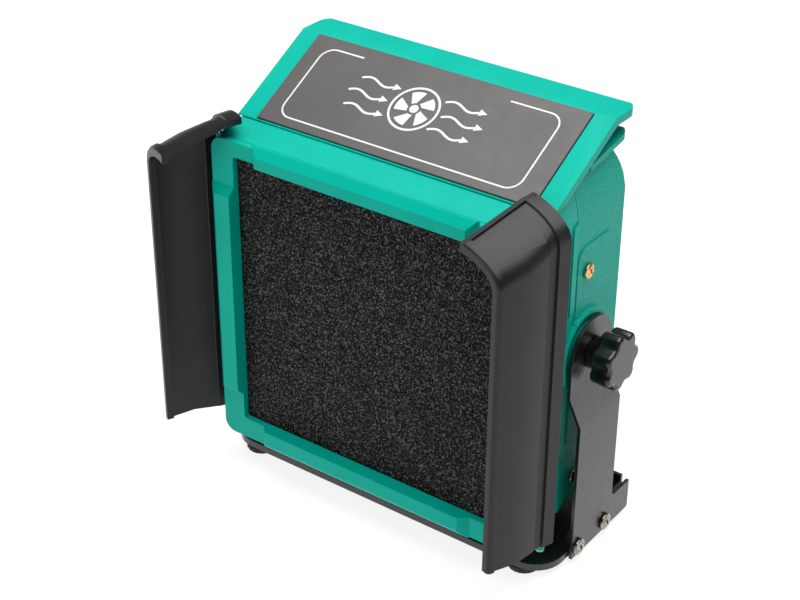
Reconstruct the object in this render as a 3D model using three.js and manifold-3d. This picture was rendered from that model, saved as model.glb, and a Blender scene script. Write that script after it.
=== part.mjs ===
// Benchtop solder fume extractor: a two-shell housing with a foam filter and an axial fan, two hinged
// side wings, and a bent-sheet bracket that the housing tilts in between two clamp knobs.
// Millimetres, +Z up, the filter faces -Y. The housing is modelled around its tilt axis.
import * as THREE from 'three';
import { mergeVertices } from 'three/addons/utils/BufferGeometryUtils.js';
import Module from 'manifold-3d';

const wasm = await Module();
wasm.setup();

// ---- Driving dimensions ----------------------------------------------------------------------
const GAP = 0.3;                // air between touching pieces
const WALL = 2.5;               // housing wall
// Housing, measured from the tilt axis
const BODY_WIDTH = 200;
const BELOW_AXIS = 101;         // axis to the underside
const ABOVE_AXIS = 88.7;        // axis to the top of the front opening
const FACE_DEPTH = 59;          // axis to the filter frame's face
const BACK_DEPTH = 34.4;        // axis to the back wall
const SEAM_Y = -12;             // where front and rear shells meet
const LEDGE_RISE = 0.2;         // rise per millimetre of the ledge above the frame
const LEDGE_DEPTH = 17.5;
const SLOPE_ANGLE = THREE.MathUtils.degToRad(28.6);
const SLOPE_RUN = 57.5;         // horizontal run of the sloped top
const COVER_THICKNESS = 4.5;
const REAR_LIP = 22;            // flat lip behind the crease
const LIP_CORNER = 8;
const GROOVE_RISE = 0.1763;     // rise per millimetre of the lower lip
const LOWER_LIP_REACH = 3.1;    // lower lip beyond the back wall
const FACET_DROP = 26;          // height of the leaning upper side facet
const FACET_INSET = 6;
const BOTTOM_RADIUS = 6;
// Label
const LABEL_MARGIN = 12.4;
const LABEL_THICKNESS = 1.8;
const LABEL_PROUD = 0.9;
// Filter
const FRAME_THICKNESS = 3.7;
const FRAME_OVERHANG = 1;
const FRAME_BORDER = 15;
const FRAME_TOP_BORDER = 9;
const BAR_RISE = 4.7;           // raised middle bar on each side of the frame
const FOAM_THICKNESS = 10;
const GRILLE_THICKNESS = 2.5;
// Fan
const FAN_SIZE = 119;
const FAN_DEPTH = 38;
const FAN_RIM = 1.9;            // frame left beside the bore
const FAN_SCREW_INSET = 7;
const BLADE_COUNT = 7;
const HUB_RADIUS = 30;
const SHAFT_RADIUS = 2;
// Wings
const WING_CHORD = 41;
const WING_THICKNESS = 2.2;
const WING_AXIS_X = 7.5;        // hinge axis outboard of the housing side
const WING_AXIS_SETBACK = 15;   // hinge axis behind the filter frame's face
const WING_FOOT = 5;            // wing foot above the housing underside
const WING_ROOF = 24;           // inward reach of the roof from the hinge axis
const WING_ROOF_RISE = 10.8;    // roof above the front opening's top, at the hinge
const WING_ROOF_FALL = 0.33;    // fall per millimetre of chord
const WING_ROLL = 15;           // height over which the skin rolls into the roof
const WING_RIM = 3;             // width of the upturned rim
const WING_RIM_RISE = 1.1;
const WING_SKIN = 5.6;          // skin outboard of the hinge axis
const WING_BAND = 3.2;          // raised band behind the groove, along the hinge
const WING_BEAD = 4.2;          // width of the thick free edge
const WING_RIGHT_TURN = THREE.MathUtils.degToRad(-17.3);
const WING_LEFT_TURN = THREE.MathUtils.degToRad(-29);
const HINGE_PIN_RADIUS = 1.5;
// Bracket
const FOOT_RADIUS = 9.5;
const FOOT_HEIGHT = 4;
const SHEET = 2;
const UNDER_CLEARANCE = 16.9;   // housing underside to base plate
const BASE_FRONT = 45;
const BASE_BACK = 44;
const BASE_CORNER = 18;
const FLANGE_HEIGHT = 14;
const ARM_HALF_WIDTH = 20.6;
const ARM_FOOT_REACH = 40;
const ARM_FOOT_HEIGHT = 18.6;
const ARM_JOG = 7.5;            // the arm steps outboard by this below the axis
const ARM_JOG_TOP = 19.3;
const ARM_JOG_BOTTOM = 34.9;
const BOSS_RADIUS = 24;
const BOSS_HEIGHT = 3.2;
const WASHER_THICKNESS = 1;
// Knob
const KNOB_RADIUS = 16.9;
const KNOB_THICKNESS = 12;
const KNOB_LOBES = 7;
const KNOB_HUB_RADIUS = 9;
const KNOB_HUB_LENGTH = 6.2;
const STUD_RADIUS = 4;
// Screws
const CASE_SCREW_Y = -0.9;
const CASE_SCREW_HIGH = 47.3;
const CASE_SCREW_LOW = -82;
const BASE_SCREW_Z = 9.3;
const BASE_SCREW_FRONT = -15.3;
const BASE_SCREW_REAR = 12.8;

// ---- Derived places --------------------------------------------------------------------------
const HALF = BODY_WIDTH / 2;
const FAN_BORE = FAN_SIZE / 2 - FAN_RIM; // radius
const FAN_SCREW_PITCH = FAN_SIZE - 2 * FAN_SCREW_INSET;
const FRAME_BACK = -FACE_DEPTH + FRAME_THICKNESS;
const SHELL_FRONT = FRAME_BACK + GAP;
const WING_AXIS_Y = -FACE_DEPTH + WING_AXIS_SETBACK;
const LEDGE_BACK = SHELL_FRONT + LEDGE_DEPTH;
const CREASE_Y = LEDGE_BACK + SLOPE_RUN;
const CREASE_Z = ABOVE_AXIS + 0.25 + LEDGE_DEPTH * LEDGE_RISE + 0.5 + SLOPE_RUN * Math.tan(SLOPE_ANGLE);
const COVER_DROP = COVER_THICKNESS / Math.cos(SLOPE_ANGLE);
const BASE_BOTTOM = FOOT_HEIGHT + GAP;
const BASE_TOP = BASE_BOTTOM + SHEET;
const AXIS_HEIGHT = BASE_TOP + UNDER_CLEARANCE + BELOW_AXIS;
const ARM_INNER = HALF + BOSS_HEIGHT + WASHER_THICKNESS + 2 * GAP;
const ARM_LOW_INNER = ARM_INNER + ARM_JOG;
const WING_BOTTOM = -BELOW_AXIS + WING_FOOT;
const WING_ROOF_Z = ABOVE_AXIS + WING_ROOF_RISE;
const FAN_BACK = BACK_DEPTH - WALL - GAP;
const FAN_FRONT = FAN_BACK - FAN_DEPTH;

const slopeZ = (y) => CREASE_Z - (CREASE_Y - y) * Math.tan(SLOPE_ANGLE);
const ledgeZ = (y) => ABOVE_AXIS + (y - SHELL_FRONT) * LEDGE_RISE;

// ---- Materials -------------------------------------------------------------------------------
const material = (colour, roughness, metalness = 0) =>
  new THREE.MeshStandardMaterial({ color: colour, roughness, metalness });
const TEAL = () => material('#00a18c', 0.5);
const BLACK_PLASTIC = () => material('#1c1c1d', 0.42);
const BLACK_STEEL = () => material('#161617', 0.38, 0.3);
const NICKEL = () => material('#b9b6ae', 0.25, 1);
const COPPER = () => material('#d09a62', 0.3, 1);
const BRASS = () => material('#c2a35a', 0.35, 1);
const RUBBER = () => material('#101010', 0.8);

// ---- Geometry helpers ------------------------------------------------------------------------
function solid(geometry) {
  const bare = (geometry.index ? geometry.toNonIndexed() : geometry.clone());
  bare.deleteAttribute('normal');
  bare.deleteAttribute('uv');
  const merged = mergeVertices(bare, 1e-4);
  const points = merged.attributes.position.array;
  const all = merged.index.array;
  const kept = [];
  for (let i = 0; i < all.length; i += 3) {
    const [a, b, c] = [all[i], all[i + 1], all[i + 2]];
    if (a !== b && b !== c && c !== a) kept.push(a, b, c);
  }
  if (signedVolume(points, kept) < 0) {
    for (let i = 0; i < kept.length; i += 3) [kept[i], kept[i + 1]] = [kept[i + 1], kept[i]];
  }
  const mesh = new wasm.Mesh({
    numProp: 3, vertProperties: Float32Array.from(points), triVerts: Uint32Array.from(kept),
  });
  return new wasm.Manifold(mesh);
}

function signedVolume(points, triangles) {
  const [a, b, c] = [new THREE.Vector3(), new THREE.Vector3(), new THREE.Vector3()];
  let volume = 0;
  for (let i = 0; i < triangles.length; i += 3) {
    a.fromArray(points, triangles[i] * 3);
    b.fromArray(points, triangles[i + 1] * 3);
    c.fromArray(points, triangles[i + 2] * 3);
    volume += a.dot(b.cross(c));
  }
  return volume;
}

function geometryOf(body) {
  const { vertProperties, triVerts } = body.getMesh();
  const geometry = new THREE.BufferGeometry();
  geometry.setAttribute('position', new THREE.BufferAttribute(Float32Array.from(vertProperties), 3));
  geometry.setIndex(new THREE.BufferAttribute(Uint32Array.from(triVerts), 1));
  geometry.computeVertexNormals();
  return geometry;
}

const join = (first, ...rest) => rest.reduce((sum, next) => sum.add(next), first);
const cut = (first, ...rest) => rest.reduce((left, next) => left.subtract(next), first);

function box(x0, x1, y0, y1, z0, z1) {
  const geometry = new THREE.BoxGeometry(x1 - x0, y1 - y0, z1 - z0);
  return solid(geometry.translate((x0 + x1) / 2, (y0 + y1) / 2, (z0 + z1) / 2));
}

const AXES = {
  x: new THREE.Matrix4().makeRotationZ(-Math.PI / 2),
  y: new THREE.Matrix4(),
  z: new THREE.Matrix4().makeRotationX(Math.PI / 2),
};

function rod(axis, radius, start, end, at = [0, 0, 0], segments = 24) {
  const geometry = new THREE.CylinderGeometry(radius, radius, end - start, segments);
  geometry.translate(0, (start + end) / 2, 0).applyMatrix4(AXES[axis]).translate(...at);
  return solid(geometry);
}

// A solid of revolution from [radius, height] pairs, along an axis.
function turned(axis, profile, at = [0, 0, 0], segments = 32) {
  const points = profile.map(([radius, height]) => new THREE.Vector2(radius, height));
  const geometry = new THREE.LatheGeometry(points, segments);
  return solid(geometry.applyMatrix4(AXES[axis]).translate(...at));
}

function shapeOf(points) {
  return new THREE.Shape(points.map(([u, v]) => new THREE.Vector2(u, v)));
}

function extruded(shape, depth, basis, offset, curveSegments = 4) {
  const geometry = new THREE.ExtrudeGeometry(shape, { depth, bevelEnabled: false, curveSegments });
  return solid(geometry.applyMatrix4(basis).translate(...offset));
}

const vector = (x, y, z) => new THREE.Vector3(x, y, z);
const BASIS_X = new THREE.Matrix4().makeBasis(vector(0, 1, 0), vector(0, 0, 1), vector(1, 0, 0));
const BASIS_Y = new THREE.Matrix4().makeBasis(vector(1, 0, 0), vector(0, 0, 1), vector(0, -1, 0));
const BASIS_Z = new THREE.Matrix4();
const alongX = (shape, x0, x1) => extruded(shape, x1 - x0, BASIS_X, [x0, 0, 0]);
const alongY = (shape, y0, y1) => extruded(shape, y1 - y0, BASIS_Y, [0, y1, 0]);
const alongZ = (shape, z0, z1) => extruded(shape, z1 - z0, BASIS_Z, [0, 0, z0]);

// A rectangle with its own radius at each corner, anticlockwise from the lower left.
function roundedRectangle(u0, u1, v0, v1, radii) {
  const [a, b, c, d] = Array.isArray(radii) ? radii : [radii, radii, radii, radii];
  const shape = new THREE.Shape();
  shape.moveTo(u0 + a, v0);
  shape.lineTo(u1 - b, v0);
  if (b) shape.absarc(u1 - b, v0 + b, b, -Math.PI / 2, 0);
  shape.lineTo(u1, v1 - c);
  if (c) shape.absarc(u1 - c, v1 - c, c, 0, Math.PI / 2);
  shape.lineTo(u0 + d, v1);
  if (d) shape.absarc(u0 + d, v1 - d, d, Math.PI / 2, Math.PI);
  shape.lineTo(u0, v0 + a);
  if (a) shape.absarc(u0 + a, v0 + a, a, Math.PI, 1.5 * Math.PI);
  return shape;
}

// Moves each edge of an anticlockwise outline inward by a distance, with mitred corners.
function inset(points, distance) {
  const count = points.length;
  const edges = points.map((from, i) => {
    const to = points[(i + 1) % count];
    const length = Math.hypot(to[0] - from[0], to[1] - from[1]);
    return { from, along: [(to[0] - from[0]) / length, (to[1] - from[1]) / length] };
  });
  return points.map((point, i) => {
    const before = edges[(i + count - 1) % count].along;
    const after = edges[i].along;
    const cosine = before[0] * after[0] + before[1] * after[1];
    const scale = distance / (1 + cosine);
    return [
      point[0] - (before[1] + after[1]) * scale,
      point[1] + (before[0] + after[0]) * scale,
    ];
  });
}

// A skin through rings with equal point counts. Both ends are closed with the first ring's flat outline.
function lofted(rings, flat) {
  const count = rings[0].length;
  const triangles = [];
  for (let r = 0; r + 1 < rings.length; r += 1) {
    for (let i = 0; i < count; i += 1) {
      const [a, b] = [r * count + i, r * count + (i + 1) % count];
      triangles.push(a, b, b + count, a, b + count, a + count);
    }
  }
  const outline = flat.map(([u, v]) => new THREE.Vector2(u, v));
  const clockwise = THREE.ShapeUtils.area(outline) < 0;
  const top = (rings.length - 1) * count;
  for (const [a, b, c] of THREE.ShapeUtils.triangulateShape(outline, [])) {
    const [second, third] = clockwise ? [c, b] : [b, c];
    triangles.push(a, third, second, top + a, top + second, top + third);
  }
  const geometry = new THREE.BufferGeometry();
  geometry.setAttribute('position', new THREE.Float32BufferAttribute(rings.flat(2), 3));
  geometry.setIndex(triangles);
  return solid(geometry);
}

function place(group, name, body, finish) {
  const mesh = new THREE.Mesh(geometryOf(body), finish);
  mesh.name = name;
  group.add(mesh);
  return mesh;
}

// A pan-head cross-recess screw along +X with its seat at the origin.
function screwBody(headRadius, headHeight, shankRadius, length) {
  const head = turned('x', [
    [0, 0], [headRadius, 0], [headRadius, headHeight * 0.35],
    [headRadius * 0.5, headHeight], [0, headHeight],
  ], [0, 0, 0], 12);
  const shank = rod('x', shankRadius, -length, 0.1, [0, 0, 0], 8);
  const arm = headRadius * 0.52;
  const slot = headRadius * 0.13;
  const depth = headHeight * 0.45;
  const cross = [
    box(depth, headHeight + 1, -arm, arm, -slot, slot),
    box(depth, headHeight + 1, -slot, slot, -arm, arm),
  ];
  return cut(join(head, shank), ...cross);
}

// ---- Housing shells --------------------------------------------------------------------------
const ledgeEnd = (() => {
  // the ledge runs on under the cover until it meets the cover's underside
  const drop = COVER_DROP + GAP / Math.cos(SLOPE_ANGLE);
  const base = CREASE_Z - CREASE_Y * Math.tan(SLOPE_ANGLE) - drop;
  const y = (ABOVE_AXIS - SHELL_FRONT * LEDGE_RISE - base) / (Math.tan(SLOPE_ANGLE) - LEDGE_RISE);
  return [y, ledgeZ(y)];
})();
const GROOVE_START = SEAM_Y + 7;
const grooveZ = (y) => slopeZ(GROOVE_START) - COVER_DROP - 0.35 + (y - GROOVE_START) * GROOVE_RISE;
const SHOULDER_TOP = BACK_DEPTH - 14;
const SHOULDER_LOW = grooveZ(BACK_DEPTH) - 23.5;

function sideOutline(front) {
  const shoulder = new THREE.QuadraticBezierCurve(
    new THREE.Vector2(BACK_DEPTH, SHOULDER_LOW),
    new THREE.Vector2(BACK_DEPTH - 3, SHOULDER_LOW + 13),
    new THREE.Vector2(SHOULDER_TOP, grooveZ(SHOULDER_TOP)),
  );
  return [
    [front, -BELOW_AXIS],
    [BACK_DEPTH - BOTTOM_RADIUS, -BELOW_AXIS],
    [BACK_DEPTH - BOTTOM_RADIUS * 0.3, -BELOW_AXIS + BOTTOM_RADIUS * 0.3],
    [BACK_DEPTH, -BELOW_AXIS + BOTTOM_RADIUS],
    ...shoulder.getPoints(5).map((p) => [p.x, p.y]),
    [GROOVE_START, grooveZ(GROOVE_START)],
    ledgeEnd,
    [front, ledgeZ(front)],
  ];
}

function faceOutline(half) {
  const top = grooveZ(BACK_DEPTH) + 12;
  const facetLow = ABOVE_AXIS - 7.7;
  const low = BOTTOM_RADIUS * 0.3;
  return [
    [-half + BOTTOM_RADIUS, -BELOW_AXIS], [half - BOTTOM_RADIUS, -BELOW_AXIS],
    [half - low, -BELOW_AXIS + low], [half, -BELOW_AXIS + BOTTOM_RADIUS],
    [half, facetLow], [half - FACET_INSET, facetLow + FACET_DROP], [half - FACET_INSET, top],
    [-half + FACET_INSET, top], [-half + FACET_INSET, facetLow + FACET_DROP], [-half, facetLow],
    [-half, -BELOW_AXIS + BOTTOM_RADIUS], [-half + low, -BELOW_AXIS + low],
  ];
}

const REACH = 400; // longer than any piece, for cutters that must pass right through
const outer = alongX(shapeOf(sideOutline(SHELL_FRONT)), -HALF, HALF)
  .intersect(alongY(shapeOf(faceOutline(HALF)), -REACH, REACH));
const innerSide = inset(sideOutline(SHELL_FRONT - 2 * WALL), WALL);
const innerFace = inset(faceOutline(HALF), WALL);
const hollow = alongX(shapeOf(innerSide), -HALF, HALF)
  .intersect(alongY(shapeOf(innerFace), -REACH, REACH));

function pivotBoss(side) {
  const face = HALF + BOSS_HEIGHT;
  const ring = turned('x', [
    [0, HALF - 1], [BOSS_RADIUS, HALF - 1], [BOSS_RADIUS, face - 1], [BOSS_RADIUS - 1, face],
    [BOSS_RADIUS - 3, face], [BOSS_RADIUS - 4, face - 1.2], [BOSS_RADIUS - 7, face - 1.2],
    [BOSS_RADIUS - 8, face], [0, face],
  ], [0, 0, 0], 28);
  return side > 0 ? ring : ring.mirror([1, 0, 0]);
}

const mirrored = (body, side) => (side > 0 ? body : body.mirror([1, 0, 0]));
const SIDES = [['left', -1], ['right', 1]];

// Raised panel on the rear shell's side, and raised flange strips beside the seam.
function sideRelief(side) {
  const panel = alongX(
    roundedRectangle(SEAM_Y + 2, BACK_DEPTH - 9.5, -60, 62, 8), HALF - 1, HALF + 0.7,
  );
  return mirrored(panel, side);
}

function seamStrip(side, z0, z1) {
  const outline = [
    [SEAM_Y - 4.4, z0], [SEAM_Y - 0.3, z0 + 3], [SEAM_Y - 0.3, z1], [SEAM_Y - 4.4, z1 - 3],
  ];
  return mirrored(alongX(shapeOf(outline), HALF - 1, HALF + 1), side);
}

// Tongues of the front shell reach inside the rear shell, and the case screws bite into them.
function tongue(side, z) {
  const inside = HALF - WALL - GAP;
  const plate = box(inside - 3, inside, SEAM_Y - 5, CASE_SCREW_Y + 7, z - 7, z + 7);
  const root = box(inside - 1, HALF - 1.2, SEAM_Y - 5, SEAM_Y - 0.5, z - 7, z + 7);
  return mirrored(join(plate, root), side);
}

const LUG_THICKNESS = 4.4;
const LUG_RADIUS = HINGE_PIN_RADIUS + 1.1;
const LUG_TOP = ABOVE_AXIS - 5.7;
const BARREL_TOP = LUG_TOP - LUG_THICKNESS - 0.6;

function hingeLug(side, z0) {
  const x = HALF + WING_AXIS_X;
  const [front, back] = [WING_AXIS_Y - LUG_RADIUS, WING_AXIS_Y + LUG_RADIUS];
  const arm = box(HALF - 1.4, x, front, back, z0, z0 + LUG_THICKNESS);
  const eye = rod('z', LUG_RADIUS, z0, z0 + LUG_THICKNESS, [x, WING_AXIS_Y, 0], 20);
  return mirrored(join(arm, eye), side);
}

const pinHole = (side, z0) =>
  rod('z', HINGE_PIN_RADIUS + 0.25, z0 - 3, z0 + LUG_THICKNESS + 3,
    [side * (HALF + WING_AXIS_X), WING_AXIS_Y, 0], 16);
const LUGS = [-BELOW_AXIS, LUG_TOP - LUG_THICKNESS];

const withBosses = join(outer, pivotBoss(1), pivotBoss(-1));
const wholeShell = cut(withBosses, hollow);

const GRILLE_FRONT = FRAME_BACK + GAP + FOAM_THICKNESS + GAP;
const GRILLE_BACK = GRILLE_FRONT + GRILLE_THICKNESS;

function frontShell() {
  let body = wholeShell.intersect(box(-REACH, REACH, -REACH, SEAM_Y - GAP / 2, -REACH, REACH));
  const [ribFront, ribBack] = [GRILLE_BACK + GAP, GRILLE_BACK + GAP + 2];
  const ribRing = alongY(shapeOf(inset(faceOutline(HALF), WALL - 0.6)), ribFront, ribBack);
  const ribHole = alongY(shapeOf(inset(faceOutline(HALF), WALL + 4)), -REACH, REACH);
  const ledgeCut = box(-REACH, REACH, -REACH, REACH, ABOVE_AXIS - 1.5, REACH);
  const shelf = box(
    -HALF + WALL, HALF - WALL, ribFront, ribBack, ABOVE_AXIS - 8, ABOVE_AXIS + 1,
  );
  body = join(body, cut(ribRing, ribHole, ledgeCut), shelf);
  for (const [, side] of SIDES) {
    body = join(body, tongue(side, CASE_SCREW_HIGH), tongue(side, CASE_SCREW_LOW));
    body = join(body, seamStrip(side, 26, 80), seamStrip(side, -BELOW_AXIS + 3, -65));
    for (const z0 of LUGS) body = cut(join(body, hingeLug(side, z0)), pinHole(side, z0));
    for (const z of [CASE_SCREW_HIGH, CASE_SCREW_LOW]) {
      body = cut(body, rod('x', 1.75, HALF - 9, HALF + 9, [0, CASE_SCREW_Y, z], 12)
        .translate([side > 0 ? 0 : -BODY_WIDTH, 0, 0]));
    }
  }
  return body;
}

// Ring-shaped slots in four quarters, narrow enough to keep fingers out.
function outletSlots() {
  const slots = [];
  const slotWidth = 3.7;
  const pitch = 7.8;
  const spoke = 3;
  for (let inner = 14; inner + slotWidth < FAN_BORE - 1; inner += pitch) {
    const outerRadius = inner + slotWidth;
    for (let quarter = 0; quarter < 4; quarter += 1) {
      const shape = new THREE.Shape();
      const start = quarter * Math.PI / 2;
      const marginOut = Math.asin(spoke / 2 / outerRadius);
      const marginIn = Math.asin(spoke / 2 / inner);
      shape.absarc(0, 0, outerRadius, start + marginOut, start + Math.PI / 2 - marginOut);
      shape.absarc(0, 0, inner, start + Math.PI / 2 - marginIn, start + marginIn, true);
      slots.push(extruded(shape, 3 * WALL, BASIS_Y, [0, BACK_DEPTH + WALL, 0], 4));
    }
  }
  return slots;
}

// Mains inlet and rocker switch sit side by side under the outlet.
const INLET = { x: -62, z: -80, width: 27, height: 19.6, depth: 20 };
const SWITCH = { x: -26, z: -80, width: 20, height: 13, depth: 14 };

function rearShell() {
  let body = wholeShell.intersect(box(-REACH, REACH, SEAM_Y + GAP / 2, REACH, -REACH, REACH));
  const lip = grooveZ(BACK_DEPTH);
  const nose = BACK_DEPTH + LOWER_LIP_REACH;
  const lipFront = GROOVE_START + 4;
  const lipSide = [
    [lipFront, grooveZ(lipFront) - 3], [BACK_DEPTH - 6, lip - 4.4],
    [nose - 1.5, lip - 3.2], [nose, lip - 2],
    [nose, lip - 0.6], [nose - 1.5, lip + 0.3], [lipFront, grooveZ(lipFront)],
  ];
  const lipRadii = [0, 0, LIP_CORNER, LIP_CORNER];
  const lipPlan = roundedRectangle(-HALF + 1, HALF - 1, lipFront, nose, lipRadii);
  const lowerLip = alongX(shapeOf(lipSide), -HALF, HALF).intersect(alongZ(lipPlan, -REACH, REACH));
  body = join(body, lowerLip);
  for (const [, side] of SIDES) {
    const boss = mirrored(rod('x', 10, HALF - 14, HALF - 1, [0, 0, 0], 24), side);
    body = join(body, sideRelief(side), boss);
    const bore = mirrored(rod('x', 6.3, HALF - 15, HALF + 9, [0, 0, 0], 24), side);
    body = cut(body, bore);
    for (const z of [CASE_SCREW_HIGH, CASE_SCREW_LOW]) {
      const hole = mirrored(rod('x', 2.3, HALF - 9, HALF + 9, [0, CASE_SCREW_Y, z], 10), side);
      body = cut(body, hole);
    }
  }
  body = cut(body, ...outletSlots());
  for (const x of [-1, 1]) {
    for (const z of [-1, 1]) {
      const at = [x * FAN_SCREW_PITCH / 2, 0, z * FAN_SCREW_PITCH / 2];
      body = cut(body, rod('y', 2.3, BACK_DEPTH - 9, BACK_DEPTH + 9, at, 8));
    }
  }
  for (const part of [INLET, SWITCH]) {
    const clear = 0.4;
    body = cut(body, box(
      part.x - part.width / 2 - clear, part.x + part.width / 2 + clear,
      BACK_DEPTH - 9, BACK_DEPTH + 9,
      part.z - part.height / 2 - clear, part.z + part.height / 2 + clear,
    ));
  }
  return body;
}

// ---- Top cover and label ---------------------------------------------------------------------
function onSlope(body) {
  return body.rotate([THREE.MathUtils.radToDeg(SLOPE_ANGLE), 0, 0]).translate([0, CREASE_Y, CREASE_Z]);
}

const SLOPE_LENGTH = SLOPE_RUN / Math.cos(SLOPE_ANGLE);
const LABEL_TOP = -1.2;
const LABEL_BOTTOM = -SLOPE_LENGTH + 1.6;

function labelSolid(grow, low, high) {
  const half = HALF - LABEL_MARGIN + grow;
  const shape = roundedRectangle(-half, half, LABEL_BOTTOM - grow, LABEL_TOP + grow, 1.2);
  return onSlope(alongZ(shape, low, high));
}

function topCover() {
  const nose = CREASE_Y + REAR_LIP;
  const front = LEDGE_BACK + 0.4;
  const under = (y) => slopeZ(y) - COVER_DROP;
  const side = [
    [front, ledgeZ(front) + GAP], [ledgeEnd[0], ledgeZ(ledgeEnd[0]) + GAP],
    [CREASE_Y + 1.2, CREASE_Z - COVER_THICKNESS], [nose - 1.4, CREASE_Z - COVER_THICKNESS],
    [nose, CREASE_Z - COVER_THICKNESS + 1.2], [nose, CREASE_Z - 1.4], [nose - 1.2, CREASE_Z],
    [CREASE_Y, CREASE_Z], [front, slopeZ(front)],
  ];
  side.splice(2, 0, [CREASE_Y - 4, under(CREASE_Y - 4)]);
  const plan = roundedRectangle(-HALF, HALF, front - 1, nose, [0, 0, LIP_CORNER, LIP_CORNER]);
  const body = alongX(shapeOf(side), -HALF, HALF).intersect(alongZ(plan, -REACH, REACH));
  const pocketDepth = LABEL_THICKNESS - LABEL_PROUD + GAP;
  return cut(body, labelSolid(GAP, -pocketDepth, 5));
}

// ---- Filter frame, foam and grille -----------------------------------------------------------
const OPENING = {
  half: HALF + FRAME_OVERHANG - FRAME_BORDER,
  low: -BELOW_AXIS + 13,
  high: ABOVE_AXIS - FRAME_TOP_BORDER,
};

// A raised bar seen in plan along its length, with ends sloping at 45 degrees.
function raisedBar(halfLength, centre, across0, across1, vertical, chamferSide) {
  const back = -FACE_DEPTH + 0.5;
  const face = -FACE_DEPTH - BAR_RISE;
  const ends = [
    [centre - halfLength - BAR_RISE - 0.5, back], [centre - halfLength, face],
    [centre + halfLength, face], [centre + halfLength + BAR_RISE + 0.5, back],
  ];
  const edge = 4.6;
  const shoulder = face + edge - 0.4;
  const section = chamferSide > 0
    ? [[across0, back], [across0, face], [across1 - edge, face], [across1, shoulder], [across1, back]]
    : [[across0, back], [across0, shoulder], [across0 + edge, face], [across1, face], [across1, back]];
  if (vertical) {
    const length = alongX(shapeOf(ends.map(([u, v]) => [v, u])), -REACH, REACH);
    return length.intersect(alongZ(shapeOf(section), -REACH, REACH));
  }
  const length = alongZ(shapeOf(ends), -REACH, REACH);
  return length.intersect(alongX(shapeOf(section.map(([u, v]) => [v, u])), -REACH, REACH));
}

function filterFrame() {
  const half = HALF + FRAME_OVERHANG;
  const low = -BELOW_AXIS;
  const [lowRadius, topRadius] = [7, 8];
  const outline = roundedRectangle(
    -half, half, low, ABOVE_AXIS, [lowRadius, lowRadius, topRadius, topRadius],
  );
  const { half: gapHalf, low: gapLow, high: gapHigh } = OPENING;
  const sideLength = 62;
  const bars = [
    raisedBar(sideLength, -5, -half, -gapHalf, true, -1),
    raisedBar(sideLength, -5, gapHalf, half, true, 1),
    raisedBar(67, 0, gapHigh, ABOVE_AXIS + 2.1, false, 1),
    raisedBar(67, 0, low - 0.6, gapLow, false, -1),
  ];
  const through = alongY(roundedRectangle(-gapHalf, gapHalf, gapLow, gapHigh, 2), -REACH, REACH);
  return cut(join(alongY(outline, -FACE_DEPTH, FRAME_BACK), ...bars), through);
}

const FILTER_HALF = HALF - WALL - 0.7;
const FILTER_LOW = -BELOW_AXIS + WALL + 0.7;
const FILTER_HIGH = ABOVE_AXIS - WALL - 0.9;

const FILTER_TOP_RADIUS = 9;

function filterPlate(y0, y1) {
  const radii = [BOTTOM_RADIUS, BOTTOM_RADIUS, FILTER_TOP_RADIUS, FILTER_TOP_RADIUS];
  return alongY(roundedRectangle(-FILTER_HALF, FILTER_HALF, FILTER_LOW, FILTER_HIGH, radii), y0, y1);
}

const foamFilter = () => filterPlate(FRAME_BACK + GAP, GRILLE_FRONT - GAP);

function filterGrille() {
  let body = filterPlate(GRILLE_FRONT, GRILLE_BACK);
  const columns = 8;
  const rows = 4;
  const bar = 3.4;
  const rim = 10;
  const cellWidth = (2 * FILTER_HALF - 2 * rim + bar) / columns;
  const cellHeight = (FILTER_HIGH - FILTER_LOW - 2 * rim + bar) / rows;
  for (let i = 0; i < columns; i += 1) {
    for (let j = 0; j < rows; j += 1) {
      const x0 = -FILTER_HALF + rim + i * cellWidth;
      const z0 = FILTER_LOW + rim + j * cellHeight;
      body = cut(body, box(x0, x0 + cellWidth - bar, -REACH, REACH, z0, z0 + cellHeight - bar));
    }
  }
  return body;
}

// ---- Fan -------------------------------------------------------------------------------------
const TUBE_RADIUS = 8;
const BEARING_RADIUS = 5;
const STATOR_RADIUS = 25;
const HUB_FRONT = FAN_FRONT + 2;
const HUB_BACK = FAN_BACK - 9;

function fanFrame() {
  const half = FAN_SIZE / 2;
  const square = roundedRectangle(-half, half, -half, half, 8);
  const ring = cut(alongY(square, FAN_FRONT, FAN_BACK), rod('y', FAN_BORE, -REACH, REACH, [0, 0, 0], 40));
  const struts = [];
  for (let i = 0; i < 4; i += 1) {
    const strut = box(-2.5, 2.5, FAN_BACK - 4, FAN_BACK, HUB_RADIUS - 4, FAN_BORE + 1);
    struts.push(strut.rotate([0, 45 + 90 * i, 0]));
  }
  const motorPlate = turned('y', [
    [BEARING_RADIUS + 0.2, HUB_FRONT + 8], [TUBE_RADIUS, HUB_FRONT + 8], [TUBE_RADIUS, FAN_BACK - 4],
    [HUB_RADIUS - 1, FAN_BACK - 4], [HUB_RADIUS - 1, FAN_BACK], [BEARING_RADIUS + 0.2, FAN_BACK],
    [BEARING_RADIUS + 0.2, HUB_FRONT + 8],
  ]);
  let body = join(ring, motorPlate, ...struts);
  for (const x of [-1, 1]) {
    for (const z of [-1, 1]) {
      const at = [x * FAN_SCREW_PITCH / 2, 0, z * FAN_SCREW_PITCH / 2];
      body = cut(body, rod('y', 2.1, -REACH, REACH, at, 8));
    }
  }
  return body;
}

// A blade's section as shares of its chord and thickness.
const bladeSection = [[-0.5, 0], [-0.2, 0.5], [0.2, 0.5], [0.5, 0], [0.2, -0.5], [-0.2, -0.5]];

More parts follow.
